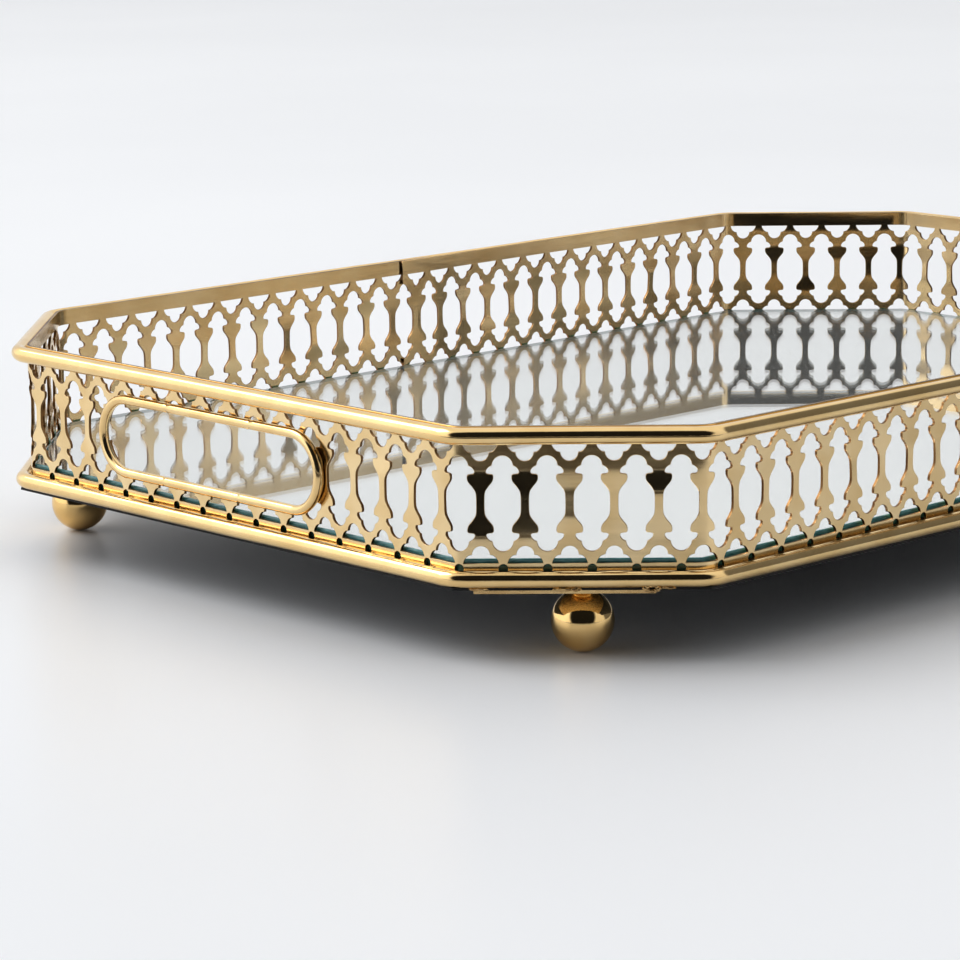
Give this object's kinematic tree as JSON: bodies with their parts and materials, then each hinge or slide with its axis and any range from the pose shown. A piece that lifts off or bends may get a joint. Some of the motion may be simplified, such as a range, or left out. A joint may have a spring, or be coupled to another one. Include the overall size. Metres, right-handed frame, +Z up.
{
  "type": "vanity tray",
  "caption": "Octagonal mirror tray with a pierced metal gallery between round wire rims, ring-edged hand openings in its short ends and ball feet",
  "frame": {"origin": "on the table plane, under the middle of the tray", "axes": "+Z up, X along the long sides, Y along the short ends with the handles on the X ends"},
  "size_m": [0.3588, 0.2534, 0.0552],
  "materials": {
    "rim_gold": "polished champagne-gold plated wire",
    "gallery_gold": "satin champagne-gold plated sheet",
    "mirror": "silvered glass with a teal ground edge",
    "hardboard": "plain hardboard, hidden between the glass and the felt",
    "felt": "black flocked felt",
    "plate_gold": "gold-plated sheet",
    "ball_gold": "mirror-polished gold plate",
    "screw_steel": "plain steel",
    "solder_gold": "plated-over solder, slightly lumpy"
  },
  "bodies": {
    "root": {"top_rim_wire": "rim_gold", "bottom_rim_wire": "rim_gold", "gallery_front_left": "gallery_gold", "gallery_front_right": "gallery_gold", "gallery_back_left": "gallery_gold", "gallery_back_right": "gallery_gold", "gallery_end_left": "gallery_gold", "gallery_end_right": "gallery_gold", "gallery_corner_front_left": "gallery_gold", "gallery_corner_front_right": "gallery_gold", "gallery_corner_back_left": "gallery_gold", "gallery_corner_back_right": "gallery_gold", "handle_ring_left": "rim_gold", "handle_ring_right": "rim_gold", "mirror_glass": "mirror", "base_board": "hardboard", "felt_pad": "felt", "corner_plate_front_left": "plate_gold", "corner_plate_front_right": "plate_gold", "corner_plate_back_left": "plate_gold", "corner_plate_back_right": "plate_gold", "ball_foot_front_left": "ball_gold", "ball_foot_front_right": "ball_gold", "ball_foot_back_left": "ball_gold", "ball_foot_back_right": "ball_gold", "foot_screws": "screw_steel", "solder_beads": "solder_gold"}
  },
  "joints": []
}
